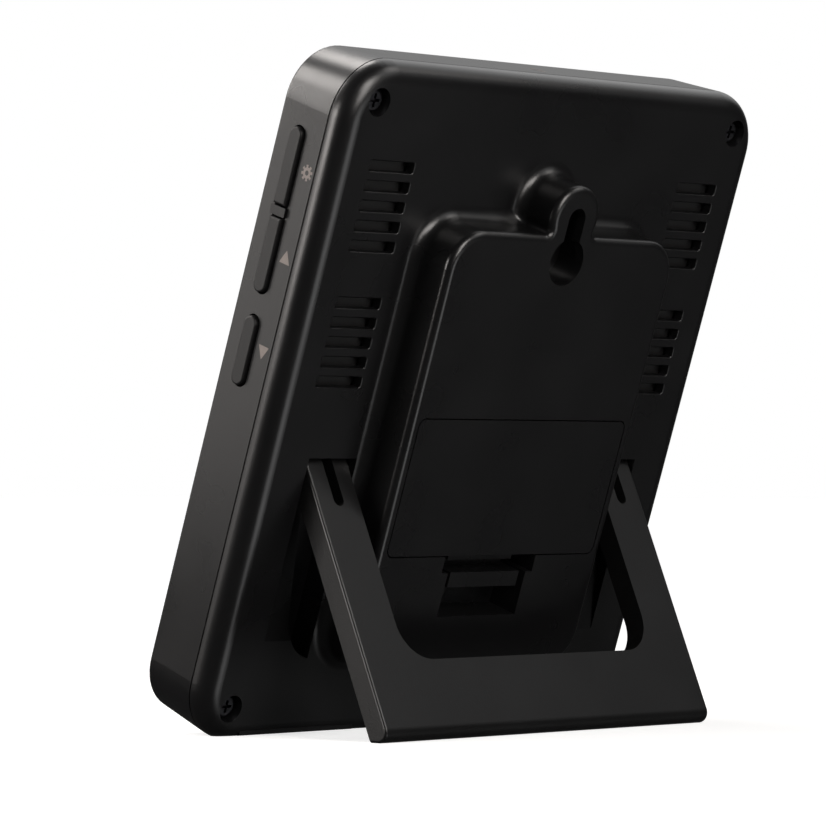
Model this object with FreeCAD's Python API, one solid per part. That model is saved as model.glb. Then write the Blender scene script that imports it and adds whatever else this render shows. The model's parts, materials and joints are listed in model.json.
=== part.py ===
import FreeCAD, Part
import math
import os

os.makedirs("parts", exist_ok=True)

V = FreeCAD.Vector
BACK = V(0, 1, 0)
SIDE = V(1, 0, 0)

# Body frame, millimetres: X across, Y from the front face to the back, Z up the body.
# The finished parts are leaned back and set on the table at the end.

# Case
body_w = 134.5
body_h = 152.0
corner_r = 13.2
body_d = 20.0
cover_rim = 4.8
side_draft = 1.2
front_edge_r = 1.0
rear_edge_r = 4.5
wall = 2.0
shell_inset = 3.0
groove_h = 0.35
groove_d = 0.5
lip_gap = 0.2
lip_t = 1.4
lip_h = 2.0
cover_inset = 0.4
cover_trim = 0.8
lean_deg = 19.0
table_y = 13.7
foot_x0 = 19.0
foot_inset = 13.25
foot_step = 0.2
notch_h = 1.1
notch_d = 2.5
half_w = body_w / 2
parting_y = body_d - cover_rim

# Screen stack, from the front wall back to the main board
window_side = 18.25
window_z0 = 22.0
window_top = 20.0
window_r = 2.0
lens_side = 6.25
lens_end = 5.5
lens_r = 8.0
lens_t = 1.1
lens_pocket = 1.2
lens_gap = 0.15
lcd_lap = 3.2
lcd_lap_low = 5.0
lcd_lap_high = 3.0
lcd_t = 2.2
guide_t = 2.7
guide_step = 2.0
guide_rise = 1.1
bar_gap = 0.3
stack_gap = 0.1
holder_gap = 0.4
holder_gap_z = 1.0
holder_wall = 3.0
holder_r = 2.0
board_t = 1.6
board_clear = 2.7
board_inset = 0.4
board_inset_z = 1.0
board_screw_inset = 17.0
board_hole_r = 1.0
board_pilot_r = 0.95
window_half_w = half_w - window_side
window_z1 = body_h - window_top
lens_half_w = half_w - lens_side
lens_z0 = lens_end
lens_z1 = body_h - lens_end
lcd_half_w = window_half_w + lcd_lap
lcd_z0 = window_z0 - lcd_lap_low
lcd_z1 = window_z1 + lcd_lap_high
guide_y = wall + lcd_t + stack_gap
guide_z0 = lcd_z0 + guide_step
holder_half_w = lcd_half_w + holder_gap + holder_wall
holder_z0 = lcd_z0 - holder_gap_z - holder_wall
holder_z1 = lcd_z1 + holder_gap_z + holder_wall
board_y = guide_y + guide_t + guide_rise
board_top_y = board_y + board_t
board_half_w = holder_half_w - board_inset
board_z0 = holder_z0 + board_inset_z
board_z1 = holder_z1 - board_inset_z
board_screw_x = holder_half_w - holder_wall / 2
board_screw_z = (holder_z0 + board_screw_inset, holder_z1 - board_screw_inset)
flex_half_w = 18.0
flex_t = 0.3
flex_rise = 0.8
flex_lift = 0.2
flex_end = 9.2
connector_h = 4.0
connector_t = 1.8
chip_size = 16.0
chip_t = 1.4
memory_size = 10.0
memory_t = 1.2
flex_z1 = lcd_z0 + flex_end
connector_x = flex_half_w + 1
speaker_r = 13.0
speaker_t = 4.2
speaker_x = -17.0
cone_r = 10.5
cone_d = 0.8
dome_r = 4.0
speaker_gap = 4.4

# Two cells side by side, their bay, and the door over them
cell_r = 7.1
cell_len = 50.2
nub_r = 2.7
nub_len = 1.2
can_edge_r = 0.5
contact_t = 0.4
contact_half = 5.5
contact_half_z = 6.0
bump_r = 2.2
root = 0.1
spring_room = 6.6
spring_r = 3.4
spring_wire_r = 0.35
spring_turns = 4
tail_y = 3.6
tail_half_z = 1.5
tail_reach = 2.8
lead_r = 0.6
lead_out = 1.8
tail_slot_gap = 0.1
cell_seat = 0.3
cell_headroom = 1.0
cell_gap = 1.0
tub_wall = 1.2
weld = 0.2
bay_z0 = 48.0
bay_half_w = (cell_len + 3 * contact_t + spring_room) / 2
bay_z1 = bay_z0 + 4 * cell_r + cell_gap
bay_floor_y = board_top_y + board_clear + tub_wall
door_t = 1.4
door_side = 4.9
door_low = 1.8
door_high = 0.6
door_gap = 0.3
door_seat = 0.1
door_corner_r = 2.0
door_half_w = bay_half_w + door_side
door_z0 = bay_z0 - door_low
door_z1 = bay_z1 + door_high
hook_x = 18.0
hook_w = 8.0
hook_gap = 0.4
hook_room = 2.6
hook_drop = 1.6
hook_t = 1.3
hook_root = 1.9
hook_step = 0.5
hook_reach = 0.8
rib_end = 1.0
rib_h = 3.2
rib_t = 1.0
cell_y = bay_floor_y + cell_seat + cell_r
speaker_z = bay_z1 + tub_wall + speaker_r + speaker_gap
chip_z = speaker_z - 12
memory_z = speaker_z - 8
memory_x = chip_size + 3

# Raised hump over the cells, and the keyhole boss at its top
hump_side = 2.6
hump_z0 = 19.3
hump_top_inset = 32.2
hump_r = 9.0
hump_edge_r = 1.6
hump_base_r = 3.0
hump_seam_r = 1.2
hump_wall = 2.4
boss_r = 7.5
boss_inset = 28.4
key_travel = 9.6
key_head_r = 5.3
key_slot_r = 2.6
key_room_r = 5.6
key_room_wall = 1.2
key_room_d = 7.5
hump_half_w = door_half_w + hump_side
hump_z1 = body_h - hump_top_inset
hump_top_y = bay_floor_y + cell_seat + 2 * cell_r + cell_headroom + door_t
inner_top_y = hump_top_y - hump_wall
boss_z = body_h - boss_inset
key_head_z = boss_z - key_travel
key_room_y = hump_top_y - key_room_d

# Door latch and its finger pocket
latch_half_w = 11.2
latch_side_gap = 0.8
latch_t = 1.2
latch_drop = 6.0
latch_d = 6.4
latch_pin_r = 0.8
latch_fit = 0.06
latch_tip = 0.6
latch_tab = 3.1
latch_eye = 1.1
latch_lip = 0.5
spring_under = 1.3
spring_rise = 2.1
spring_leg = 2.4
leg_front = 0.7
leg_back = 0.4
neck_h = 0.9
neck_front = 0.6
neck_back = 0.3
pocket_side = 1.5
pocket_len = 9.7
pocket_d = 1.6
mouth_side = 2.1
latch_z = bay_z0 - latch_drop
latch_y = hump_top_y - latch_d
pocket_half_w = latch_half_w + pocket_side
pocket_z0 = latch_z - pocket_len
pocket_step_z = latch_z + 0.4
mouth_half_w = pocket_half_w + mouth_side
pocket_floor_y = latch_y - pocket_d

# Stand, its hinge and the recess it folds into
stand_t = 5.3
stand_arm_w = 12.6
stand_open_deg = 41.85
stand_fold_deg = 10.0
stand_reach = 45.3
stand_len = 70.0
stand_top = 1.85
stand_corner_r = 8.5
stand_foot_r = 2.4
stand_rim_r = 0.6
stand_heel = 0.8
slit_inset = 6.0
slit_w = 3.0
slit_len = 9.9
hinge_z = 62.1
hinge_inset = 3.0
hinge_pin_r = 1.5
hinge_fit = 0.06
hinge_pin_out = 1.5
hinge_pin_in = 3.3
pin_root = 0.3
pin_end_gap = 0.5
well_gap_in = 1.5
well_gap_out = 0.4
well_side = 2.4
well_under = 0.75
well_wall = 1.5
stop_gap = 0.054
ramp_drop = 2.0
moat_w = 7.9
moat_r = 9.7
moat_d = 6.0
moat_z1 = 50.0
hinge_y = body_d - hinge_inset
well_x0 = hump_half_w + well_side
stand_arm_x = well_x0 + well_gap_in
stand_half_w = stand_arm_x + stand_arm_w
well_x1 = stand_half_w + well_gap_out
well_floor_y = hinge_y - stand_t / 2 - well_under
open_turn = math.radians(stand_open_deg)
well_z1 = hinge_z + stand_top * math.cos(open_turn) + stand_t / 2 * math.sin(open_turn) + stop_gap
slit_x = stand_arm_x + slit_inset
moat_x1 = well_x0 + moat_w
moat_floor_y = body_d - moat_d

# Vents
vent_side = 17.15
vent_len = 13.35
vent_h = 2.4
vent_end_r = 0.5
vent_lip_r = 0.3
vent_pitch = 4.38
vent_count = 5
vent_insets = (22.1, 52.1)
screen_depth = 3.0
screen_t = 0.6
screen_rim = 1.0
screen_lap = 0.6
vent_x = half_w - vent_side

# Side buttons
button_y = 7.2
button_gap = 0.4
button_travel = 0.8
slot_half_w = 2.2
slot_depth = 6.0
button_proud = 1.1
button_edge_r = 0.5
bridge_sink = 0.25
button_insets = (("settings_button", 35.2, 17.5), ("up_button", 54.5, 37.2), ("down_button", 75.0, 58.9))
flange_t = 1.0
flange_gap = 0.65
flange_lap = 0.8
flange_end_lap = 0.4
switch_board_t = 1.6
switch_board_y1 = 13.0
switch_board_low = 3.0
switch_board_high = 2.0
switch_h = 2.8
switch_size = 6.0
stem_r = 1.75
stem_h = 0.7
stem_gap = 0.1
flange_x = half_w - shell_inset - flange_gap - flange_t
switch_board_x = flange_x - button_travel - stem_gap - stem_h - switch_h - switch_board_t

# Screws
screw_side = 8.75
screw_end = 8.5
screw_recess_r = 3.1
screw_recess_d = 3.4
screw_floor = 1.4
screw_post_r = 4.4
shell_post_r = 3.4
shell_post_gap = 0.2
post_clear = 0.3
screw_head_r = 2.6
screw_head_h = 1.8
screw_crown_r = 0.7
cross_arm = 1.5
cross_t = 0.7
cross_floor = 0.8
screw_r = 1.4
screw_len = 11.0
screw_fit = 0.05
screw_hole_gap = 0.3
board_screw_r = 0.9
board_screw_len = 5.0
board_screw_head_r = 1.4
board_screw_head_h = 1.0


def box(x0, x1, y0, y1, z0, z1):
    return Part.makeBox(x1 - x0, y1 - y0, z1 - z0, V(x0, y0, z0))


def rod(r, length, at, direction):
    return Part.makeCylinder(r, length, at, direction)


def rounded_wire(half_w, z0, z1, r, y):
    k = r * (1 - math.sqrt(0.5))
    w = half_w
    corners = (
        (V(w - r, y, z0), V(w - k, y, z0 + k), V(w, y, z0 + r)),
        (V(w, y, z1 - r), V(w - k, y, z1 - k), V(w - r, y, z1)),
        (V(r - w, y, z1), V(k - w, y, z1 - k), V(-w, y, z1 - r)),
        (V(-w, y, z0 + r), V(k - w, y, z0 + k), V(r - w, y, z0)),
    )
    edges = []
    for i, (start, middle, end) in enumerate(corners):
        edges.append(Part.Arc(start, middle, end).toShape())
        edges.append(Part.makeLine(end, corners[(i + 1) % 4][0]))
    return Part.Wire(edges)


def rounded_prism(half_w, z0, z1, r, y0, y1):
    face = Part.Face(rounded_wire(half_w, z0, z1, r, y0))
    return face.extrude(V(0, y1 - y0, 0))


def inset_prism(inset, y0, y1):
    return rounded_prism(half_w - inset, inset, body_h - inset, corner_r - inset, y0, y1)


def stadium(x, y0, y1, z0, z1, r):
    body = box(x - r, x + r, y0, y1, z0, z1)
    for z in (z0, z1):
        body = body.fuse(rod(r, y1 - y0, V(x, y0, z), BACK))
    return body.removeSplitter()


def side_stadium(x0, x1, y, z0, z1, r, round_low=True, round_high=True):
    low = z0 + r if round_low else z0
    high = z1 - r if round_high else z1
    body = box(x0, x1, y - r, y + r, low, high)
    for z, wanted in ((low, round_low), (high, round_high)):
        if wanted:
            body = body.fuse(rod(r, x1 - x0, V(x0, y, z), SIDE))
    return body.removeSplitter()


def profile_prism(points, x0, x1):
    loop = [V(x0, y, z) for z, y in points]
    face = Part.Face(Part.makePolygon(loop + [loop[0]]))
    return face.extrude(V(x1 - x0, 0, 0))


def both_sides(make):
    return make(1).fuse(make(-1))


def span(side, a, b):
    return (a, b) if side > 0 else (-b, -a)


def edges_where(shape, test):
    return [e for e in shape.Edges if test(e)]


def at_y(edge, y):
    return all(abs(p.y - y) < 1e-4 for p in (edge.BoundBox.getPoint(0), edge.BoundBox.getPoint(6)))


def fuse_all(shapes):
    body = shapes[0]
    for shape in shapes[1:]:
        body = body.fuse(shape)
    return body.removeSplitter()


def cut_all(body, tools):
    for tool in tools:
        body = body.cut(tool)
    return body


def corner_points():
    x = half_w - screw_side
    return [(-x, screw_end), (-x, body_h - screw_end), (x, screw_end), (x, body_h - screw_end)]


def board_points():
    return [(x, z) for x in (-board_screw_x, board_screw_x) for z in board_screw_z]


def button_spans():
    return [(name, body_h - low, body_h - high) for name, low, high in button_insets]


# The table, as the solid everything below the resting plane is trimmed with.
table = Part.makeBox(400, 400, 60, V(-200, -200, -60))
table.rotate(V(0, 0, 0), SIDE, lean_deg)
table.translate(V(0, table_y, 0))


def hump_outline(grow, y0, y1):
    block = rounded_prism(hump_half_w + grow, hump_z0 - grow, hump_z1 + grow, hump_r + grow, y0, y1)
    return block.fuse(rod(boss_r + grow, y1 - y0, V(0, y0, boss_z), BACK)).removeSplitter()


def bottom_notch():
    return box(-foot_x0, foot_x0, table_y - notch_d, body_d + 1, -1, notch_h)


def make_front_shell():
    front = rounded_wire(half_w - side_draft, side_draft, body_h - side_draft, corner_r - side_draft, 0)
    rear = rounded_wire(half_w, 0, body_h, corner_r, parting_y)
    body = Part.makeLoft([front, rear], True, True)
    body = body.makeFillet(front_edge_r, edges_where(body, lambda e: at_y(e, 0)))
    body = body.cut(inset_prism(shell_inset, wall, parting_y + 1))
    groove = rounded_prism(half_w + 1, -1, body_h + 1, corner_r, parting_y - groove_h, parting_y + 1)
    core = inset_prism(groove_d, 0, parting_y + 2)
    body = body.cut(groove.cut(core))
    body = body.cut(rounded_prism(lens_half_w, lens_z0, lens_z1, lens_r, -1, lens_pocket))
    body = body.cut(rounded_prism(window_half_w, window_z0, window_z1, window_r, 0, wall + 1))
    post_end = body_d - screw_recess_d - screw_floor - shell_post_gap
    posts = [rod(shell_post_r, post_end - wall, V(x, wall, z), BACK) for x, z in corner_points()]
    body = fuse_all([body] + posts)
    holes = [rod(screw_r + screw_fit, post_end, V(x, wall + lip_t, z), BACK) for x, z in corner_points()]
    body = cut_all(body, holes)
    for name, z0, z1 in button_spans():
        low_end = name != "settings_button"
        high_end = name != "up_button"
        x0 = half_w - slot_depth
        body = body.cut(side_stadium(x0, half_w + 1, button_y, z0, z1, slot_half_w, low_end, high_end))
    settings, up = button_spans()[:2]
    bridge = box(half_w - shell_inset, wall_x(button_y) + button_proud - bridge_sink,
                 button_y - slot_half_w, button_y + slot_half_w, up[2], settings[1])
    return body.fuse(bridge).removeSplitter().cut(bottom_notch()).cut(table)


def make_cover_skin():
    body = rounded_prism(half_w, 0, body_h, corner_r, parting_y, body_d)
    body = body.makeFillet(rear_edge_r, edges_where(body, lambda e: at_y(e, body_d)))
    foot_x1 = half_w - foot_inset
    feet = both_sides(lambda s: box(*span(s, foot_x0, foot_x1), parting_y, body_d - foot_step, 0, rear_edge_r))
    raised = hump_outline(0, body_d - 1, hump_top_y)
    seam = [e for e in raised.Edges if abs(e.BoundBox.YLength - (hump_top_y - body_d + 1)) < 1e-3
            and abs(e.BoundBox.ZMax - hump_z1) < 1e-3 and e.BoundBox.XLength < 1e-3
            and abs(e.BoundBox.Center.x) < boss_r]
    raised = raised.makeFillet(hump_seam_r, seam)
    raised = raised.makeFillet(hump_edge_r, edges_where(raised, lambda e: at_y(e, hump_top_y)))
    body = body.fuse(raised).removeSplitter()
    base = [e for e in body.Edges if at_y(e, body_d) and abs(e.BoundBox.Center.x) < hump_half_w + 1
            and hump_z0 - 1 < e.BoundBox.ZMin and e.BoundBox.ZMax < boss_z + boss_r + 1]
    body = body.makeFillet(hump_base_r, base)
    return body.fuse(feet).removeSplitter()


def well_blocks():
    def block(side):
        x0, x1 = span(side, hump_half_w - hump_wall, well_x1 + well_wall)
        return box(x0, x1, well_floor_y - well_wall, body_d - wall, hump_z0 - well_wall, well_z1 + well_wall)
    return both_sides(block)


def well_cuts():
    rise = math.tan(math.radians(stand_fold_deg))
    run = (body_d - well_floor_y) / rise
    ramp_z = hinge_z - ramp_drop
    ramp = [(well_z1, body_d + 1), (well_z1, well_floor_y), (ramp_z, well_floor_y), (ramp_z - run, body_d),
            (ramp_z - run, body_d + 1)]

    def arm(side):
        x0, x1 = span(side, well_x0, well_x1)
        return profile_prism(ramp, x0, x1)

    moat = rounded_prism(moat_x1, hump_z0, moat_z1 + moat_r, moat_r, moat_floor_y, body_d + 1)
    moat = moat.cut(box(-well_x0, well_x0, 0, body_d + 2, 0, body_h))
    return both_sides(arm).fuse(moat)


def hinge_sockets():
    def bore(side):
        r = hinge_pin_r + hinge_fit
        outer_at = V(side * (stand_half_w - pin_root), hinge_y, hinge_z)
        inner_at = V(side * (stand_arm_x + pin_root), hinge_y, hinge_z)
        outer = rod(r, hinge_pin_out + pin_end_gap + pin_root, outer_at, SIDE * side)
        inner = rod(r, hinge_pin_in + pin_end_gap + pin_root, inner_at, SIDE * -side)
        return outer.fuse(inner)
    return both_sides(bore)


def key_slot(r_head, r_slot, y0, y1):
    head = rod(r_head, y1 - y0, V(0, y0, key_head_z), BACK)
    return head.fuse(stadium(0, y0, y1, key_head_z, boss_z, r_slot)).removeSplitter()


def vent_places():
    return [(side, body_h - inset) for side in (-1, 1) for inset in vent_insets]


def at_vent_mouth(edge):
    reach = vent_len / 2 + vent_end_r
    across = abs(abs(edge.BoundBox.Center.x) - vent_x) < reach
    tops = [top for side, top in vent_places()]
    drop = (vent_count - 1) * vent_pitch + vent_h
    level = any(top - drop < edge.BoundBox.Center.z < top + vent_h for top in tops)
    return at_y(edge, body_d) and across and level and edge.Length < vent_len + vent_h


def vent_slots():
    tools = []
    for side, top in vent_places():
        for i in range(vent_count):
            z = top - i * vent_pitch
            x0, x1 = span(side, vent_x - vent_len / 2, vent_x + vent_len / 2)
            slot = box(x0, x1, body_d - wall - 1, body_d + 1, z - vent_h / 2, z + vent_h / 2)
            ends = edges_where(slot, lambda e: abs(e.BoundBox.YLength - wall - 2) < 1e-3)
            tools.append(slot.makeFillet(vent_end_r, ends))
    return tools


def cell_z(upper):
    middle = (bay_z0 + bay_z1) / 2
    offset = (bay_z1 - bay_z0) / 4
    return middle + offset if upper else middle - offset


def make_rear_cover():
    body = make_cover_skin()
    body = body.cut(inset_prism(wall + cover_inset, parting_y - 1, body_d - wall))
    room_z0, room_z1 = hump_z0 + hump_wall, hump_z1 - hump_wall
    room = rounded_prism(hump_half_w - hump_wall, room_z0, room_z1, hump_r - hump_wall, parting_y - 1, inner_top_y)
    body = body.cut(room)
    lip_out = shell_inset + lip_gap
    lip = inset_prism(lip_out, parting_y - lip_h, body_d - wall)
    lip = lip.cut(inset_prism(lip_out + lip_t, 0, body_d))
    for x, z in corner_points():
        lip = lip.cut(rod(shell_post_r + post_clear, body_d, V(x, 0, z), BACK))
    bay_out = bay_half_w + tub_wall
    weld_y = inner_top_y + weld
    bay = box(-bay_out, bay_out, bay_floor_y - tub_wall, weld_y, bay_z0 - tub_wall, bay_z1 + tub_wall)
    pocket_out = mouth_half_w + tub_wall
    pocket = box(-pocket_out, pocket_out, pocket_floor_y - tub_wall, weld_y, pocket_z0 - tub_wall, bay_z0)
    key_room_out = key_room_r + key_room_wall
    key_room = stadium(0, key_room_y - key_room_wall, weld_y, key_head_z, boss_z, key_room_out)
    posts = []
    for x, z in corner_points():
        floor_y = body_d - screw_recess_d - screw_floor
        posts.append(rod(screw_post_r, body_d - wall - floor_y + weld, V(x, floor_y, z), BACK))
    posts = [post.common(inset_prism(cover_trim, 0, body_d)) for post in posts]
    body = fuse_all([body, lip, bay, pocket, key_room, well_blocks()] + posts)
    door_seat_y = hump_top_y - door_t - door_seat
    pocket_z1 = bay_z0 - tub_wall
    tools = [
        box(-bay_half_w, bay_half_w, bay_floor_y, hump_top_y + 1, bay_z0, bay_z1),
        rounded_prism(door_half_w, door_z0, door_z1, door_corner_r, door_seat_y, hump_top_y + 1),
        box(-pocket_half_w, pocket_half_w, pocket_floor_y, hump_top_y + 1, pocket_z0, pocket_z1),
        box(-mouth_half_w, mouth_half_w, pocket_floor_y, hump_top_y + 1, pocket_step_z, pocket_z1),
        box(-latch_half_w, latch_half_w, latch_y + spring_under, hump_top_y + 1, pocket_step_z, bay_z0 + 1),
        key_slot(key_head_r, key_slot_r, inner_top_y - 1, hump_top_y + 1),
        stadium(0, key_room_y, inner_top_y, key_head_z, boss_z, key_room_r),
        well_cuts(),
        hinge_sockets(),
    ]
    for x in (-hook_x, hook_x):
        half = hook_w / 2 + hook_gap
        z1 = bay_z1 + tub_wall + 1
        tools.append(box(x - half, x + half, inner_top_y - hook_room, inner_top_y, bay_z1 - 1, z1))
    for x, z in corner_points():
        tools.append(rod(screw_recess_r, screw_recess_d + 1, V(x, body_d - screw_recess_d, z), BACK))
        tools.append(rod(screw_r + screw_hole_gap, body_d, V(x, parting_y - lip_h, z), BACK))
    for upper in (True, False):
        z = cell_z(upper)
        low_y = cell_y - tail_y - contact_t - tail_slot_gap
        high_y = cell_y - tail_y + tail_slot_gap
        half = tail_half_z + tail_slot_gap
        tools.append(box(bay_half_w - weld, bay_half_w + tub_wall + weld, low_y, high_y, z - half, z + half))
    body = cut_all(body, tools + vent_slots())
    body = body.makeFillet(vent_lip_r, edges_where(body, at_vent_mouth))
    rib_z = (bay_z0 + bay_z1) / 2
    rib_x = bay_half_w - rib_end
    rib = box(-rib_x, rib_x, bay_floor_y - weld, bay_floor_y + rib_h, rib_z - rib_t / 2, rib_z + rib_t / 2)
    return body.fuse(rib).removeSplitter().cut(bottom_notch()).cut(table)


def make_battery_door():
    top = hump_top_y
    under = top - door_t
    g = door_gap
    plate = rounded_prism(door_half_w - g, door_z0 + g, door_z1 - g, door_corner_r - g, under, top)
    inner_top_y = hump_top_y - hump_wall
    hooks = []
    for x in (-hook_x, hook_x):
        x0, x1 = x - hook_w / 2, x + hook_w / 2
        root_z = bay_z1 - hook_root
        hook_y = inner_top_y - hook_drop
        hooks.append(box(x0, x1, hook_y, under + weld, root_z, bay_z1 - hook_step))
        hooks.append(box(x0, x1, hook_y, hook_y + hook_t, root_z, bay_z1 + tub_wall + hook_reach))
    w = latch_half_w - latch_side_gap
    arm_y = latch_y + spring_rise
    leg_z = latch_z + spring_leg
    foot_y = latch_y - latch_eye
    arm = [
        box(-w, w, arm_y, under + weld, bay_z0 - tub_wall, bay_z0),
        box(-w, w, arm_y, arm_y + latch_t, leg_z, bay_z0),
        box(-w, w, foot_y, arm_y + latch_t, leg_z, leg_z + latch_t),
        box(-w, w, foot_y, latch_y + latch_lip, latch_z, leg_z + latch_t),
    ]
    body = fuse_all([plate] + hooks + arm)
    return body.cut(rod(latch_pin_r + latch_fit, 2 * w + 2, V(-w - 1, latch_y, latch_z), SIDE))


def make_door_latch():
    w = latch_half_w
    tip_y = hump_top_y - latch_tip
    pin = rod(latch_pin_r, 2 * w, V(-w, latch_y, latch_z), SIDE)
    neck = box(-w, w, latch_y, latch_y + neck_h, latch_z - neck_front, latch_z + neck_back)
    leg = box(-w, w, latch_y + latch_pin_r, tip_y, latch_z - leg_front, latch_z + leg_back)
    tab = box(-w, w, tip_y - latch_t, tip_y, latch_z - latch_tab, latch_z + leg_back)
    return fuse_all([pin, neck, leg, tab])


def make_cell(upper):
    side = 1 if upper else -1
    z = cell_z(upper)
    tip = side * (bay_half_w - 2 * contact_t)
    nub = rod(nub_r, nub_len + weld, V(tip, cell_y, z), SIDE * -side)
    can = rod(cell_r, cell_len - nub_len, V(tip - side * nub_len, cell_y, z), SIDE * -side)
    rims = edges_where(can, lambda e: abs(e.BoundBox.XLength) < 1e-3)
    return can.makeFillet(can_edge_r, rims).fuse(nub).removeSplitter()


def contact_plate(side, z0, z1):
    x0, x1 = span(side, bay_half_w - contact_t, bay_half_w)
    return box(x0, x1, cell_y - contact_half, cell_y + contact_half, z0, z1)


def contact_bump(side, z):
    return rod(bump_r, contact_t + root, V(side * (bay_half_w - contact_t + root), cell_y, z), SIDE * -side)


def contact_spring(side, z):
    pitch = (spring_room - 2 * spring_wire_r) / spring_turns
    helix = Part.makeHelix(pitch, pitch * spring_turns, spring_r)
    section = Part.Wire(Part.makeCircle(spring_wire_r, V(spring_r, 0, 0), BACK))
    coil = Part.Wire(helix.Edges).makePipeShell([section], True, True)
    coil.rotate(V(0, 0, 0), BACK, -90 * side)
    coil.translate(V(side * (bay_half_w - contact_t - spring_wire_r + root), cell_y, z))
    return coil


def contact_tail(z):
    x = bay_half_w - root
    low_y = cell_y - tail_y - contact_t
    return box(x, x + tub_wall + tail_reach, low_y, low_y + contact_t, z - tail_half_z, z + tail_half_z)


def make_stand():
    t = stand_t / 2
    ground = table.copy()
    ground.translate(V(0, -hinge_y, -hinge_z))
    ground.rotate(V(0, 0, 0), SIDE, -stand_open_deg)
    plate = box(-stand_half_w, stand_half_w, -t, t, -stand_len, stand_top).cut(ground)
    toe = edges_where(plate, lambda e: e.BoundBox.XLength > stand_half_w and at_y(e, t) and e.BoundBox.ZMax < 0)
    plate = plate.makeFillet(stand_foot_r, toe)
    rims = edges_where(plate, lambda e: at_y(e, t) and e.BoundBox.ZLength > stand_reach)
    plate = plate.makeFillet(stand_rim_r, rims)
    heel = edges_where(plate, lambda e: e.BoundBox.XLength > stand_half_w and at_y(e, -t) and e.BoundBox.ZMin > 0)
    plate = plate.makeChamfer(stand_heel, heel)
    tools = [rounded_prism(stand_arm_x, -stand_reach, stand_len, stand_corner_r, -t - 1, t + 1)]
    for side in (-1, 1):
        tools.append(stadium(side * slit_x, -t - 1, t + 1, -slit_len + slit_w / 2, stand_len, slit_w / 2))
    body = cut_all(plate, tools)
    for side in (-1, 1):
        outer_at = V(side * (stand_half_w - pin_root), 0, 0)
        inner_at = V(side * (stand_arm_x + pin_root), 0, 0)
        body = body.fuse(rod(hinge_pin_r, hinge_pin_out + pin_root, outer_at, SIDE * side))
        body = body.fuse(rod(hinge_pin_r, hinge_pin_in + pin_root, inner_at, SIDE * -side))
    body.rotate(V(0, 0, 0), SIDE, stand_open_deg)
    body.translate(V(0, hinge_y, hinge_z))
    return body.removeSplitter()


def wall_x(y):
    return half_w - side_draft * (1 - y / parting_y)


def make_button(name, z0, z1):
    low_end = name != "settings_button"
    high_end = name != "up_button"
    r = slot_half_w - button_gap
    g = button_gap
    outer_x = wall_x(button_y) + button_proud
    cap = side_stadium(flange_x, outer_x, button_y, z0 + g, z1 - g, r, low_end, high_end)
    top = edges_where(cap, lambda e: e.BoundBox.XMin > outer_x - 1e-3)
    cap = cap.makeFillet(button_edge_r, top)
    reach = slot_half_w + flange_lap
    flange = box(flange_x, flange_x + flange_t, button_y - reach, button_y + reach,
                 z0 - flange_end_lap, z1 + flange_end_lap)
    return fuse_all([cap, flange])


def make_switch(z):
    x = switch_board_x + switch_board_t
    s = switch_size / 2
    case = box(x, x + switch_h, button_y - s, button_y + s, z - s, z + s)
    return fuse_all([case, rod(stem_r, stem_h, V(x + switch_h, button_y, z), SIDE)])


def make_switch_board():
    z0 = min(low for name, low, high in button_spans()) - switch_board_low
    z1 = max(high for name, low, high in button_spans()) + switch_board_high
    x1 = switch_board_x + switch_board_t
    return box(switch_board_x, x1, wall + stack_gap, switch_board_y1, z0, z1)


def make_screen(side, top):
    middle = top - (vent_count - 1) * vent_pitch / 2
    half_z = (vent_count - 1) * vent_pitch / 2 + vent_h / 2 + screen_lap
    half_x = vent_len / 2 + screen_lap
    x0, x1 = span(side, vent_x - half_x, vent_x + half_x)
    y0 = body_d - screen_depth - screen_t
    rim = screen_rim
    body = box(x0 - rim, x1 + rim, y0, body_d - wall, middle - half_z - rim, middle + half_z + rim)
    return body.cut(box(x0, x1, body_d - screen_depth, body_d, middle - half_z, middle + half_z))


def make_case_screw(x, z):
    seat = body_d - screw_recess_d
    head = rod(screw_head_r, screw_head_h, V(x, seat, z), BACK)
    crown = edges_where(head, lambda e: at_y(e, seat + screw_head_h))
    head = head.makeFillet(screw_crown_r, crown)
    for dx, dz in ((cross_arm, cross_t / 2), (cross_t / 2, cross_arm)):
        head = head.cut(box(x - dx, x + dx, seat + cross_floor, seat + screw_head_h + 1, z - dz, z + dz))
    return fuse_all([head, rod(screw_r, screw_len, V(x, seat - screw_len + weld, z), BACK)])


def make_board_screw(x, z):
    y = board_top_y
    head = rod(board_screw_head_r, board_screw_head_h, V(x, y, z), BACK)
    slot_floor = y + board_screw_head_h / 2
    head = head.cut(box(x - 1, x + 1, slot_floor, y + 2, z - 0.2, z + 0.2))
    return fuse_all([head, rod(board_screw_r, board_screw_len, V(x, y - board_screw_len + root, z), BACK)])


def make_holder():
    y1 = board_y
    ring = rounded_prism(holder_half_w, holder_z0, holder_z1, holder_r, wall, y1)
    w = holder_wall
    ring = ring.cut(rounded_prism(holder_half_w - w, holder_z0 + w, holder_z1 - w, holder_r / 2, 0, y1 + 1))
    x1 = holder_half_w - 1
    low_z, high_z = holder_z0 + 1, guide_z0 - bar_gap
    bars = box(-x1, x1, guide_y, y1, lcd_z1 + bar_gap, holder_z1 - 1)
    bars = bars.fuse(both_sides(lambda s: box(*span(s, flex_half_w + 2, x1), guide_y, y1, low_z, high_z)))
    body = ring.fuse(bars).removeSplitter()
    depth = board_screw_len + root
    return cut_all(body, [rod(board_pilot_r, depth, V(x, board_y - board_screw_len, z), BACK)
                          for x, z in board_points()])


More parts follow.
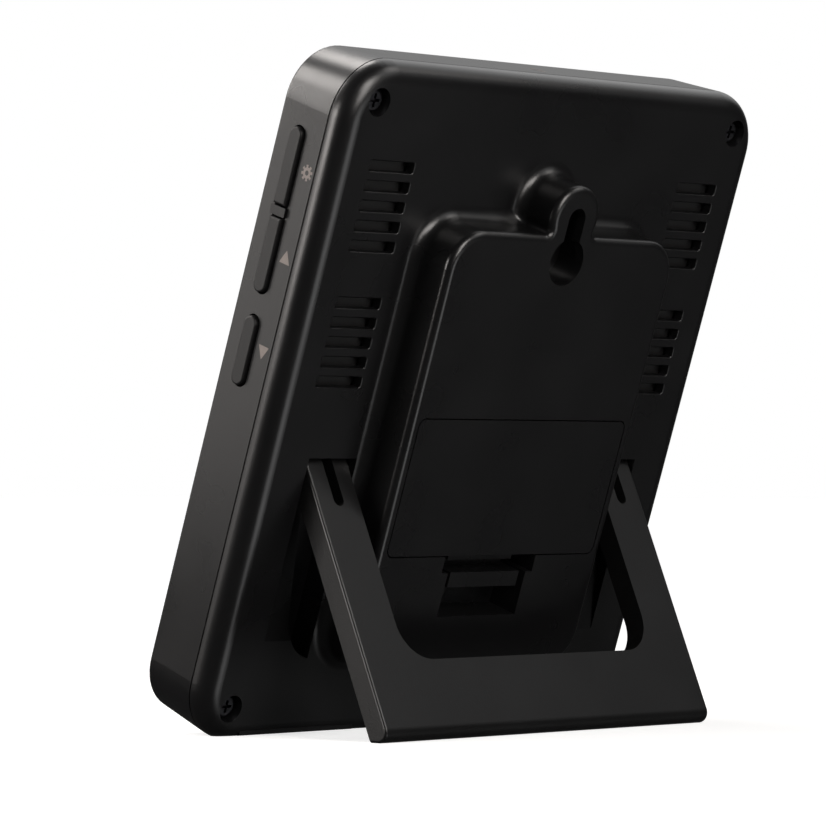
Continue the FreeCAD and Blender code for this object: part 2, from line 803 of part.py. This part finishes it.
def make_main_board():
    body = box(-board_half_w, board_half_w, board_y, board_top_y, board_z0, board_z1)
    holes = [rod(board_hole_r, board_t + 2, V(x, board_y - 1, z), BACK) for x, z in board_points()]
    half = flex_half_w + 2 * bar_gap
    z = lcd_z0 + flex_rise
    flex_slot = box(-half, half, board_y - 1, board_top_y + 1, z - holder_gap, z + 2 * holder_gap)
    return cut_all(body, holes + [flex_slot])


def on_board(x0, x1, z0, z1, h):
    return box(x0, x1, board_top_y, board_top_y + h, z0, z1)


def make_flex():
    z = lcd_z0 + flex_rise
    back_y = board_top_y + flex_lift
    strip = box(-flex_half_w, flex_half_w, wall + lcd_t, back_y + flex_t, z, z + flex_t)
    tongue = box(-flex_half_w, flex_half_w, back_y, back_y + flex_t, z, flex_z1)
    return strip.fuse(tongue).removeSplitter()


def make_speaker():
    at = V(speaker_x, board_top_y, speaker_z)
    rim_y = V(0, speaker_t - cone_d, 0)
    cone = rod(cone_r, cone_d + 1, at + rim_y, BACK).cut(rod(dome_r, cone_d + 1, at + rim_y, BACK))
    return rod(speaker_r, speaker_t, at, BACK).cut(cone)


def make_lead(z):
    x = bay_half_w + tub_wall + lead_out
    end_y = cell_y - tail_y - contact_t
    return rod(lead_r, end_y - board_top_y, V(x, board_top_y, z), BACK)


def make_lens():
    g = lens_gap
    y0 = lens_pocket - lens_t
    return rounded_prism(lens_half_w - g, lens_z0 + g, lens_z1 - g, lens_r - g, y0, lens_pocket)


z_up = cell_z(True)
z_low = cell_z(False)
plate = contact_half_z
parts = [
    ("front_shell", make_front_shell()),
    ("rear_cover", make_rear_cover()),
    ("front_lens", make_lens()),
    ("lcd_panel", box(-lcd_half_w, lcd_half_w, wall, wall + lcd_t, lcd_z0, lcd_z1)),
    ("light_guide", box(-lcd_half_w, lcd_half_w, guide_y, guide_y + guide_t, guide_z0, lcd_z1)),
    ("lcd_holder", make_holder()),
    ("lcd_flex", make_flex()),
    ("main_board", make_main_board()),
    ("flex_connector", on_board(-connector_x, connector_x, flex_z1, flex_z1 + connector_h, connector_t)),
    ("processor", on_board(0, chip_size, chip_z, chip_z + chip_size, chip_t)),
    ("memory_chip", on_board(memory_x, memory_x + memory_size, memory_z, memory_z + memory_size, memory_t)),
    ("speaker", make_speaker()),
    ("button_board", make_switch_board()),
    ("battery_door", make_battery_door()),
    ("door_latch", make_door_latch()),
    ("battery_upper", make_cell(True)),
    ("battery_lower", make_cell(False)),
    ("positive_contact", fuse_all([contact_plate(1, z_up - plate, z_up + plate), contact_bump(1, z_up),
                                   contact_tail(z_up)])),
    ("negative_contact", fuse_all([contact_plate(1, z_low - plate, z_low + plate), contact_spring(1, z_low),
                                   contact_tail(z_low)])),
    ("bridge_contact", fuse_all([contact_plate(-1, z_low - plate, z_up + plate), contact_bump(-1, z_low),
                                 contact_spring(-1, z_up)])),
    ("positive_lead", make_lead(z_up)),
    ("negative_lead", make_lead(z_low)),
    ("stand", make_stand()),
]
for number, (x, z) in enumerate(board_points(), 1):
    parts.append(("board_screw_%d" % number, make_board_screw(x, z)))
for number, (x, z) in enumerate(corner_points(), 1):
    parts.append(("case_screw_%d" % number, make_case_screw(x, z)))
for number, (side, top) in enumerate(vent_places(), 1):
    parts.append(("vent_screen_%d" % number, make_screen(side, top)))
for name, z0, z1 in button_spans():
    parts.append((name, make_button(name, z0, z1)))
    parts.append((name.replace("button", "switch"), make_switch((z0 + z1) / 2)))

# Lean the body back about the table line, then centre the whole on the origin.
placed = []
for name, shape in parts:
    shape = shape.copy()
    shape.translate(V(0, -table_y, 0))
    shape.rotate(V(0, 0, 0), SIDE, -lean_deg)
    placed.append((name, shape))
y_min = min(s.optimalBoundingBox().YMin for n, s in placed)
y_max = max(s.optimalBoundingBox().YMax for n, s in placed)
for name, shape in placed:
    shape.translate(V(0, -(y_min + y_max) / 2, 0))
    shape.exportStep("parts/%s.step" % name)
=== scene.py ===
import json
import math

import bmesh
import bpy
from mathutils import Matrix, Vector


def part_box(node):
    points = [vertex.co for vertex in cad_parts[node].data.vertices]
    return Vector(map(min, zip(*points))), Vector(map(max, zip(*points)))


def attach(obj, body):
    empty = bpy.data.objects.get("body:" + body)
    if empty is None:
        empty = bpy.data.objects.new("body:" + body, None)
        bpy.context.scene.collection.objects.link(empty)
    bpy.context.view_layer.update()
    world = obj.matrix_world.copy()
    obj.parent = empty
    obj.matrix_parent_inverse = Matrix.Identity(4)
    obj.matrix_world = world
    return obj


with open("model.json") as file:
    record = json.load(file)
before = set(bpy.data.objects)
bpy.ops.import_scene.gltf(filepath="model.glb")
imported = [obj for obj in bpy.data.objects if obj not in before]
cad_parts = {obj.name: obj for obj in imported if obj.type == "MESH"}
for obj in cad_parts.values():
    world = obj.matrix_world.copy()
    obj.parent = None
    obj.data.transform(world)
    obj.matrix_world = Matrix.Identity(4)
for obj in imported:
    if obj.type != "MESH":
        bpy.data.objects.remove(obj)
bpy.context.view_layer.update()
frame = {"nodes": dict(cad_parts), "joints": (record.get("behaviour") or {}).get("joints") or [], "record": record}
nodes = frame["nodes"]
record = frame["record"]

MM = 0.001

# The case stands leaned back. Its own millimetre axes are X across, Y out of the back and Z up the body.
keyhole = next(mount for mount in record["mounts"] if mount["name"] == "keyhole")
stand_hinge = next(joint for joint in frame["joints"] if joint["name"] == "stand_hinge")
hinge_depth = 17.0
hinge_height = 62.1
across = Vector((1, 0, 0))
outward = Vector(keyhole["axis"])
upward = across.cross(outward)
case_origin = Vector(stand_hinge["pos_m"]) - (outward * hinge_depth + upward * hinge_height) * MM
case_axes = Matrix((across, outward, upward)).transposed().to_4x4()
case_place = Matrix.Translation(case_origin) @ case_axes @ Matrix.Scale(MM, 4)

# Outside of the case, in its own millimetres
case_half_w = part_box("rear_cover")[1].x / MM
case_h = 152.0
side_draft = 1.2
parting_y = 15.2
ink_t = 0.02

# Middles of the marks: depth and height on the button side, and place across and depth on the top edge
gear_y, gear_z = 12.6, 125.6
up_y, up_z = 12.35, 106.7
down_y, down_z = 12.3, 86.6
lamp_x, lamp_y = 0.9, 9.2


# --- Materials ---------------------------------------------------------------------------------

def linear(hex_colour):
    """An sRGB hex colour as the linear RGBA that a shader takes."""
    channels = [int(hex_colour[i:i + 2], 16) / 255 for i in (1, 3, 5)]
    made = [c / 12.92 if c <= 0.04045 else ((c + 0.055) / 1.055) ** 2.4 for c in channels]
    return (*made, 1.0)


def add(tree, kind, inputs=None, **settings):
    """Adds a node with its settings. An input is a plain value, or a socket to link from."""
    made = tree.nodes.new(kind)
    for name, value in settings.items():
        setattr(made, name, value)
    for name, value in (inputs or {}).items():
        if isinstance(value, bpy.types.NodeSocket):
            tree.links.new(value, made.inputs[name])
        else:
            made.inputs[name].default_value = value
    return made


def per_size(size_mm):
    """Texture scale that repeats about every size_mm on Object coordinates in metres."""
    return 1 / (size_mm * MM)


def blend(tree, factor, first, second):
    """A colour between two hex colours, by a factor socket."""
    mix = add(tree, "ShaderNodeMix", {0: factor, 6: linear(first), 7: linear(second)}, data_type="RGBA")
    return mix.outputs[2]


def new_material(name):
    """An empty material with its shader and output; returns it with its tree, shader and place vector."""
    made = bpy.data.materials.new(name)
    made.use_nodes = True
    tree = made.node_tree
    tree.nodes.clear()
    shader = add(tree, "ShaderNodeBsdfPrincipled")
    output = add(tree, "ShaderNodeOutputMaterial")
    tree.links.new(shader.outputs["BSDF"], output.inputs["Surface"])
    place = add(tree, "ShaderNodeTexCoord").outputs["Object"]
    return made, tree, shader, place


def link(tree, shader, **sockets):
    """Links sockets to the shader's inputs by name, with _ for a space."""
    for name, socket in sockets.items():
        tree.links.new(socket, shader.inputs[name.replace("_", " ")])


def moulded_plastic(name, dark, light, roughness, grain_mm, relief_mm, specular=0.5):
    """Injection-moulded plastic from a spark-eroded tool: a fine even grain breaks up the gloss."""
    made, tree, shader, place = new_material(name)
    shader.inputs["Specular IOR Level"].default_value = specular
    flow_mm = 22
    uneven = 0.03
    grain = add(tree, "ShaderNodeTexNoise", {"Vector": place, "Scale": per_size(grain_mm), "Detail": 2.0})
    flow = add(tree, "ShaderNodeTexNoise", {"Vector": place, "Scale": per_size(flow_mm), "Detail": 3.0})
    tone = blend(tree, grain.outputs["Fac"], dark, light)
    gloss = add(tree, "ShaderNodeMapRange", {"Value": flow.outputs["Fac"], "From Min": 0.3, "From Max": 0.7,
                                             "To Min": roughness - uneven, "To Max": roughness + uneven})
    relief = add(tree, "ShaderNodeBump", {"Height": grain.outputs["Fac"], "Strength": 0.5,
                                          "Distance": relief_mm * MM})
    link(tree, shader, Base_Color=tone, Roughness=gloss.outputs["Result"], Normal=relief.outputs["Normal"])
    return made


def plain_metal(name, dark, light, roughness, grain_mm):
    """Plated or drawn metal, with slight stains and drawing marks in its polish."""
    made, tree, shader, place = new_material(name)
    shader.inputs["Metallic"].default_value = 1.0
    uneven = 0.08
    stain = add(tree, "ShaderNodeTexNoise", {"Vector": place, "Scale": per_size(grain_mm), "Detail": 4.0})
    tone = blend(tree, stain.outputs["Fac"], dark, light)
    gloss = add(tree, "ShaderNodeMapRange", {"Value": stain.outputs["Fac"], "To Min": roughness - uneven,
                                             "To Max": roughness + uneven})
    link(tree, shader, Base_Color=tone, Roughness=gloss.outputs["Result"])
    return made


def smoked_acrylic():
    """Clear smoke-tinted PMMA window, polished: it keeps a sharp reflection and dims what is behind it."""
    made, tree, shader, place = new_material("Smoked_acrylic_polished")
    shader.inputs["Base Color"].default_value = linear("#0b0c0d")
    shader.inputs["Alpha"].default_value = 0.45
    haze_mm = 30
    haze = add(tree, "ShaderNodeTexNoise", {"Vector": place, "Scale": per_size(haze_mm), "Detail": 2.0})
    gloss = add(tree, "ShaderNodeMapRange", {"Value": haze.outputs["Fac"], "To Min": 0.02, "To Max": 0.05})
    link(tree, shader, Roughness=gloss.outputs["Result"])
    return made


def lcd_glass():
    """Polariser film on glass, switched off: dark grey-green with faint rows of unlit cells."""
    made, tree, shader, place = new_material("LCD_polariser_film")
    row_mm = 1.2
    rows = add(tree, "ShaderNodeTexWave", {"Vector": place, "Scale": per_size(row_mm) * math.pi / 10},
               bands_direction="Z")
    tone = blend(tree, rows.outputs["Fac"], "#545c59", "#5c6461")
    shader.inputs["Roughness"].default_value = 0.12
    link(tree, shader, Base_Color=tone)
    return made


def clear_acrylic():
    """Edge-lit PMMA light guide, with the printed dots that scatter the light out of it."""
    made, tree, shader, place = new_material("Clear_acrylic_moulded")
    shader.inputs["Transmission Weight"].default_value = 0.6
    shader.inputs["IOR"].default_value = 1.49
    dot_pitch_mm = 1.2
    dots = add(tree, "ShaderNodeTexVoronoi", {"Vector": place, "Scale": per_size(dot_pitch_mm),
                                              "Randomness": 0.0})
    gloss = add(tree, "ShaderNodeMapRange", {"Value": dots.outputs["Distance"], "From Max": 0.5, "To Min": 0.45,
                                             "To Max": 0.1})
    tone = blend(tree, dots.outputs["Distance"], "#ffffff", "#e6eaee")
    link(tree, shader, Base_Color=tone, Roughness=gloss.outputs["Result"])
    return made


def solder_mask():
    """Green solder mask over etched copper: tracks show as paler, slightly raised lines."""
    made, tree, shader, place = new_material("Solder_mask_on_copper")
    track_pitch_mm = 5
    copper_t = 0.03 * MM
    cells = add(tree, "ShaderNodeTexVoronoi",
                {"Vector": place, "Scale": per_size(track_pitch_mm), "Randomness": 0.4},
                feature="DISTANCE_TO_EDGE", distance="MANHATTAN")
    track = add(tree, "ShaderNodeMapRange", {"Value": cells.outputs["Distance"], "From Min": 0.03,
                                             "From Max": 0.06, "To Min": 1.0, "To Max": 0.0})
    tone = blend(tree, track.outputs["Result"], "#0c3a20", "#1f6138")
    relief = add(tree, "ShaderNodeBump", {"Height": track.outputs["Result"], "Strength": 0.5,
                                          "Distance": copper_t})
    shader.inputs["Roughness"].default_value = 0.32
    link(tree, shader, Base_Color=tone, Normal=relief.outputs["Normal"])
    return made


def cell_jacket():
    """Shrink film on a steel can: the film stops short of both ends, where the nickel-plated steel shows."""
    made, tree, shader, place = new_material("Shrink_jacket_and_nickel")
    half_len = 23.2 * MM
    band = 12.0 * MM
    split = add(tree, "ShaderNodeSeparateXYZ", {"Vector": place})
    reach = add(tree, "ShaderNodeMath", {0: split.outputs["X"]}, operation="ABSOLUTE")
    bare = add(tree, "ShaderNodeMath", {0: reach.outputs[0], 1: half_len}, operation="GREATER_THAN")
    top = add(tree, "ShaderNodeMath", {0: split.outputs["X"], 1: band}, operation="GREATER_THAN")
    film = blend(tree, top.outputs[0], "#26282c", "#8a7a5c")
    tone = add(tree, "ShaderNodeMix", {0: bare.outputs[0], 6: film, 7: linear("#c9c5bd")}, data_type="RGBA")
    gloss = add(tree, "ShaderNodeMapRange", {"Value": bare.outputs[0], "To Min": 0.3, "To Max": 0.24})
    link(tree, shader, Base_Color=tone.outputs[2], Metallic=bare.outputs[0], Roughness=gloss.outputs["Result"])
    return made


def pad_ink(name, dark, light):
    """Pad-printed ink: a thin matt film, a little thinner in places."""
    made, tree, shader, place = new_material(name)
    film_mm = 0.6
    film = add(tree, "ShaderNodeTexNoise", {"Vector": place, "Scale": per_size(film_mm), "Detail": 3.0})
    tone = blend(tree, film.outputs["Fac"], dark, light)
    shader.inputs["Roughness"].default_value = 0.55
    link(tree, shader, Base_Color=tone)
    return made


# A plastic's numbers are its roughness, its grain and the grain's depth in millimetres, and its specular level.
finishes = {
    "case_plastic": moulded_plastic("ABS_black_satin_moulded", "#09090a", "#121213", 0.29, 0.4, 0.02),
    "stand_plastic": moulded_plastic("ABS_black_matt_moulded", "#0a0a0a", "#151516", 0.32, 0.45, 0.045, 0.45),
    "button_plastic": moulded_plastic("ABS_black_button_moulded", "#070708", "#0d0d0e", 0.5, 0.4, 0.016, 0.36),
    "inner_plastic": moulded_plastic("ABS_grey_inner_moulded", "#0d0d0e", "#161617", 0.6, 0.5, 0.02),
    "chip_body": moulded_plastic("Epoxy_chip_moulded", "#161617", "#1f1f20", 0.6, 0.3, 0.01),
    "connector_plastic": moulded_plastic("Nylon_natural_moulded", "#c9c0a6", "#d8d0b8", 0.5, 0.6, 0.01),
    "flex_film": moulded_plastic("Polyimide_film", "#a5621d", "#b9742a", 0.3, 3.0, 0.005),
    "speaker_body": moulded_plastic("Speaker_steel_painted", "#1c1c1e", "#28282a", 0.4, 0.8, 0.02),
    "red_lead": moulded_plastic("PVC_red_extruded", "#8f1414", "#a31c1c", 0.45, 1.0, 0.01),
    "black_lead": moulded_plastic("PVC_black_extruded", "#141414", "#1c1c1c", 0.45, 1.0, 0.01),
    "spring_steel": plain_metal("Spring_steel_nickel_plated", "#b9b4aa", "#d6d2c8", 0.24, 1.5),
    "screw_steel": plain_metal("Screw_steel_black_zinc", "#3a3a3c", "#5c5c60", 0.32, 0.8),
    "window": smoked_acrylic(),
    "lcd_glass": lcd_glass(),
    "guide_acrylic": clear_acrylic(),
    "circuit_board": solder_mask(),
    "cell_jacket": cell_jacket(),
}
marking_ink = pad_ink("Pad_print_ink_warm_grey", "#625a56", "#736a65")
border_ink = pad_ink("Screen_print_ink_black", "#08080a", "#0d0d0f")

for part in record["subparts"]:
    mesh = nodes[part["node"]].data
    mesh.materials.clear()
    mesh.materials.append(finishes[part["material_slot"]])


# --- Printed pieces ----------------------------------------------------------------------------

def finish_piece(name, shape, material, body):
    """Turns a bmesh in the case's millimetres into a piece that rides on a body."""
    bmesh.ops.remove_doubles(shape, verts=shape.verts, dist=1e-5)
    bmesh.ops.recalc_face_normals(shape, faces=shape.faces)
    bmesh.ops.transform(shape, matrix=case_place, verts=shape.verts)
    mesh = bpy.data.meshes.new(name)
    shape.to_mesh(mesh)
    shape.free()
    mesh.materials.append(material)
    piece = bpy.data.objects.new(name, mesh)
    bpy.context.scene.collection.objects.link(piece)
    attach(piece, body)


def on_side(y, z):
    """Place of a mark on the button side: its X runs to the back, its Y up, its Z out of the drafted wall."""
    tilt = math.atan(side_draft / parting_y)
    wall_x = case_half_w - side_draft * (1 - y / parting_y)
    right = Vector((math.sin(tilt), math.cos(tilt), 0))
    out = Vector((math.cos(tilt), -math.sin(tilt), 0))
    turn = Matrix((right, Vector((0, 0, 1)), out)).transposed().to_4x4()
    return Matrix.Translation((wall_x, y, z)) @ turn


def on_top(x, y):
    """Place of a mark on the top edge: its X runs across, its Y to the front, its Z out of the drafted wall."""
    tilt = math.atan(side_draft / parting_y)
    wall_z = case_h - side_draft * (1 - y / parting_y)
    back = Vector((0, math.cos(tilt), math.sin(tilt)))
    out = Vector((0, -math.sin(tilt), math.cos(tilt)))
    turn = Matrix((Vector((-1, 0, 0)), -back, out)).transposed().to_4x4()
    return Matrix.Translation((x, y, wall_z)) @ turn


def ring(shape, inner_r, outer_r, segments):
    """A flat ring of quads about the origin; returns its outer edges in order."""
    inside = bmesh.ops.create_circle(shape, segments=segments, radius=inner_r)["verts"]
    outside = bmesh.ops.create_circle(shape, segments=segments, radius=outer_r)["verts"]
    edges = list({e for v in inside + outside for e in v.link_edges})
    bmesh.ops.bridge_loops(shape, edges=edges)
    rim = set(outside)
    return [e for e in shape.edges if e.verts[0] in rim and e.verts[1] in rim]


def lay_ink(shape, place):
    """Gives flat marks the ink's thickness and puts them on their wall."""
    bmesh.ops.recalc_face_normals(shape, faces=shape.faces)
    bmesh.ops.solidify(shape, geom=shape.faces, thickness=ink_t)
    low = min(v.co.z for v in shape.verts)
    bmesh.ops.translate(shape, verts=shape.verts, vec=(0, 0, -low))
    bmesh.ops.transform(shape, matrix=place, verts=shape.verts)


def triangle_mark(name, y, z, direction):
    """A rounded solid triangle that points up or down the body."""
    reach, corner = 1.95, 0.18
    shape = bmesh.new()
    bmesh.ops.create_circle(shape, cap_ends=True, segments=3, radius=reach)
    turn = Matrix.Rotation(0 if direction > 0 else math.pi, 3, "Z")
    bmesh.ops.rotate(shape, verts=shape.verts, cent=(0, 0, 0), matrix=turn)
    bmesh.ops.bevel(shape, geom=list(shape.verts), offset=corner, segments=3, affect="VERTICES", profile=0.5,
                    material=-1)
    lay_ink(shape, on_side(y, z))
    finish_piece(name, shape, marking_ink, "case")


def gear_mark():
    """A settings symbol: a ring with eight teeth."""
    shape = bmesh.new()
    segments = 32
    hole_r, root_r, tip_r = 0.55, 1.2, 1.75
    rim = ring(shape, hole_r, root_r, segments)
    step = 2 * math.pi / segments
    teeth = []
    for edge in rim:
        middle = (edge.verts[0].co + edge.verts[1].co) / 2
        place = round((math.atan2(middle.y, middle.x) % (2 * math.pi)) / step - 0.5) % 4
        if place < 2:
            teeth.append(edge)
    grown = bmesh.ops.extrude_edge_only(shape, edges=teeth)["geom"]
    tips = [v for v in grown if isinstance(v, bmesh.types.BMVert)]
    for tip in tips:
        tip.co *= tip_r / root_r
    lay_ink(shape, on_side(gear_y, gear_z))
    finish_piece("settings_mark", shape, marking_ink, "case")


def lamp_mark():
    """A lamp symbol for the key under the top edge: a ring for the bulb and two bars for its base."""
    bulb_inner_r, bulb_outer_r = 1.0, 1.4
    bar_w, bar_h = 1.4, 0.36
    bar_heights = (-1.75, -2.35)
    shape = bmesh.new()
    ring(shape, bulb_inner_r, bulb_outer_r, 24)
    for height in bar_heights:
        bar = bmesh.ops.create_grid(shape, x_segments=1, y_segments=1, size=0.5)["verts"]
        bmesh.ops.scale(shape, verts=bar, vec=(bar_w, bar_h, 1))
        bmesh.ops.translate(shape, verts=bar, vec=(0, height, 0))
    lay_ink(shape, on_top(lamp_x, lamp_y))
    finish_piece("lamp_mark", shape, marking_ink, "case")


def window_border():
    """The black border printed on the back of the front window, round the screen."""
    lens_half_w, lens_z0, lens_z1, lens_corner = 60.8, 5.7, 146.3, 7.8
    view_half_w, view_z0, view_z1 = 50.0, 19.0, 133.0
    behind_lens_y = 1.15
    shape = bmesh.new()
    outer = bmesh.ops.create_grid(shape, x_segments=1, y_segments=1, size=0.5)["verts"]
    bmesh.ops.scale(shape, verts=outer, vec=(2 * lens_half_w, lens_z1 - lens_z0, 1))
    bmesh.ops.bevel(shape, geom=outer, offset=lens_corner, segments=8, affect="VERTICES", profile=0.5,
                    material=-1)
    bmesh.ops.translate(shape, verts=shape.verts, vec=(0, (lens_z0 + lens_z1) / 2, 0))
    for side in (-1, 1):
        bmesh.ops.bisect_plane(shape, geom=shape.verts[:] + shape.edges[:] + shape.faces[:],
                               plane_co=(side * view_half_w, 0, 0), plane_no=(1, 0, 0))
    for height in (view_z0, view_z1):
        bmesh.ops.bisect_plane(shape, geom=shape.verts[:] + shape.edges[:] + shape.faces[:],
                               plane_co=(0, height, 0), plane_no=(0, 1, 0))
    middle = [f for f in shape.faces if abs(f.calc_center_median().x) < view_half_w
              and view_z0 < f.calc_center_median().y < view_z1]
    bmesh.ops.delete(shape, geom=middle, context="FACES")
    place = Matrix.Translation((0, behind_lens_y, 0)) @ Matrix.Rotation(math.radians(90), 4, "X")
    bmesh.ops.solidify(shape, geom=shape.faces, thickness=ink_t)
    bmesh.ops.transform(shape, matrix=place, verts=shape.verts)
    finish_piece("window_border", shape, border_ink, "case")


gear_mark()
triangle_mark("up_mark", up_y, up_z, 1)
triangle_mark("down_mark", down_y, down_z, -1)
lamp_mark()
window_border()


# --- Studio ------------------------------------------------------------------------------------

floor_half = 6
floor_mesh = bpy.data.meshes.new("floor")
floor_shape = bmesh.new()
bmesh.ops.create_grid(floor_shape, x_segments=1, y_segments=1, size=floor_half)
floor_shape.to_mesh(floor_mesh)
floor_shape.free()
floor = bpy.data.objects.new("floor", floor_mesh)
bpy.context.scene.collection.objects.link(floor)
floor.visible_glossy = False


def seen(tree, *kinds):
    """1 for the kinds of ray that see the pale background, 0 for the rest."""
    rays = add(tree, "ShaderNodeLightPath")
    total = rays.outputs[kinds[0]]
    for kind in kinds[1:]:
        total = add(tree, "ShaderNodeMath", {0: total, 1: rays.outputs[kind]}, operation="MAXIMUM").outputs[0]
    return total


def paper_floor():
    """Matt white paper: the camera sees it nearly shadowless under a glow that is weaker near the object, a
    painted shade round it; the object's gloss sees it as it is lit.
    """
    made, tree, shader, place = new_material("Paper_white_matt")
    shader.inputs["Roughness"].default_value = 0.9
    shader.inputs["Specular IOR Level"].default_value = 0.1
    fibre_mm = 6
    near, distant = 0.25, 0.9
    near_glow, full_glow = 0.72, 1.0
    fibre = add(tree, "ShaderNodeTexNoise", {"Vector": place, "Scale": per_size(fibre_mm), "Detail": 3.0})
    tone = blend(tree, fibre.outputs["Fac"], "#c9c9c8", "#cfcfce")
    link(tree, shader, Base_Color=tone)
    # The camera's glow is dimmer near the object than far out: a painted shade round the object, laid over its
    # real shadow.
    far = add(tree, "ShaderNodeVectorMath", {"Vector": place}, operation="LENGTH").outputs["Value"]
    glow_with_painted_shade = add(tree, "ShaderNodeMapRange", {"Value": far, "From Min": near, "From Max": distant,
                                             "To Min": near_glow, "To Max": full_glow},
                interpolation_type="SMOOTHSTEP")
    glow = add(tree, "ShaderNodeEmission", {"Color": linear("#ffffff"), "Strength": glow_with_painted_shade.outputs["Result"]})
    lit = add(tree, "ShaderNodeAddShader", {0: shader.outputs["BSDF"], 1: glow.outputs["Emission"]})
    choice = add(tree, "ShaderNodeMixShader", {0: seen(tree, "Is Camera Ray"), 1: shader.outputs["BSDF"],
                                               2: lit.outputs[0]})
    output = next(n for n in tree.nodes if n.type == "OUTPUT_MATERIAL")
    tree.links.new(choice.outputs[0], output.inputs["Surface"])
    return made


floor_mesh.materials.append(paper_floor())

world = bpy.data.worlds.new("Studio")
bpy.context.scene.world = world
world.use_nodes = True
sky = world.node_tree
sky.nodes.clear()
direction = add(sky, "ShaderNodeTexCoord").outputs["Generated"]


def heading(azimuth, elevation):
    """The direction at an azimuth and an elevation in degrees, from the object outwards."""
    turn, rise = math.radians(azimuth), math.radians(elevation)
    return Vector((math.cos(rise) * math.cos(turn), math.cos(rise) * math.sin(turn), math.sin(rise)))


def spot(azimuth, elevation, radius, soft, level):
    """A pale patch of the room as the object's gloss sees it, with a soft rim; angles in degrees."""
    centre = heading(azimuth, elevation)
    towards = add(sky, "ShaderNodeVectorMath", {0: direction, 1: centre}, operation="DOT_PRODUCT")
    return add(sky, "ShaderNodeMapRange", {"Value": towards.outputs["Value"],
                                           "From Min": math.cos(math.radians(radius + soft)),
                                           "From Max": math.cos(math.radians(radius - soft)),
                                           "To Max": level}, interpolation_type="SMOOTHSTEP")


# White walls behind the screen and overhead, the lit edge of the table close behind the hinge side, a pale
# wall that the stand sees, and a window high in front that grazes the screen.
patches = [spot(-141, 20, 22, 12, 0.35), spot(-165, 48, 20, 14, 1.2), spot(111, -28, 11, 7, 2.2),
           spot(124, 32, 15, 5, 1.0), spot(-100, 60, 12, 14, 0.6)]
dark_room = 0.03
room = patches[0].outputs["Result"]
for patch in patches[1:]:
    room = add(sky, "ShaderNodeMath", {0: room, 1: patch.outputs["Result"]}, operation="ADD").outputs[0]
room = add(sky, "ShaderNodeMath", {0: room, 1: dark_room}, operation="ADD").outputs[0]
ambient = 0.05
glossy = seen(sky, "Is Glossy Ray", "Is Transmission Ray")
indirect = add(sky, "ShaderNodeMix", {0: glossy, 2: ambient, 3: room}, data_type="FLOAT")
strength = add(sky, "ShaderNodeMix", {0: seen(sky, "Is Camera Ray"), 2: indirect.outputs[0], 3: 1.0},
               data_type="FLOAT")
backdrop = add(sky, "ShaderNodeBackground", {"Color": linear("#ffffff"), "Strength": strength.outputs[0]})
end = add(sky, "ShaderNodeOutputWorld")
sky.links.new(backdrop.outputs[0], end.inputs["Surface"])


def softbox(name, azimuth, elevation, watts):
    """A small soft lamp on a dome about the object, aimed at its middle."""
    dome_r = 0.6
    box_w, box_h = 0.22, 0.19
    aim = Vector((0, 0, 0.08))
    away = heading(azimuth, elevation)
    lamp = bpy.data.lights.new(name, "AREA")
    lamp.shape = "RECTANGLE"
    lamp.size = box_w
    lamp.size_y = box_h
    lamp.energy = watts
    lamp.color = linear("#fffaf6")[:3]
    holder = bpy.data.objects.new(name, lamp)
    holder.location = aim + away * dome_r
    holder.rotation_mode = "QUATERNION"
    holder.rotation_quaternion = (-away).to_track_quat("-Z", "Y")
    holder.visible_camera = False
    bpy.context.scene.collection.objects.link(holder)


softbox("front_low", -14, 8, 1.55)
softbox("front_high", -56, 26, 1.35)
softbox("front_edge", -56, 8, 0.25)
softbox("low_edge", -30, -3, 0.2)
softbox("rear_low", 79, 8, 0.95)
softbox("rear_high", 79, 26, 1.35)
softbox("key", -49, 46, 1.4)
softbox("top_left", -109, 68, 1.2)
softbox("top_rear", 131, 46, 0.35)

camera_at = Vector((0.72007, 0.65979, 0.05726))
camera_aim = Vector((-0.729304, -0.684067, 0.012936))
camera = bpy.data.cameras.new("camera")
camera.sensor_width = 36.0
camera.lens = 191.77
camera.clip_start = 0.05
camera.clip_end = 50.0
camera_holder = bpy.data.objects.new("camera", camera)
camera_holder.location = camera_at
camera_holder.rotation_mode = "QUATERNION"
camera_holder.rotation_quaternion = camera_aim.to_track_quat("-Z", "Y")
bpy.context.scene.collection.objects.link(camera_holder)
bpy.context.scene.camera = camera_holder
bpy.context.scene.view_settings.view_transform = "Standard"
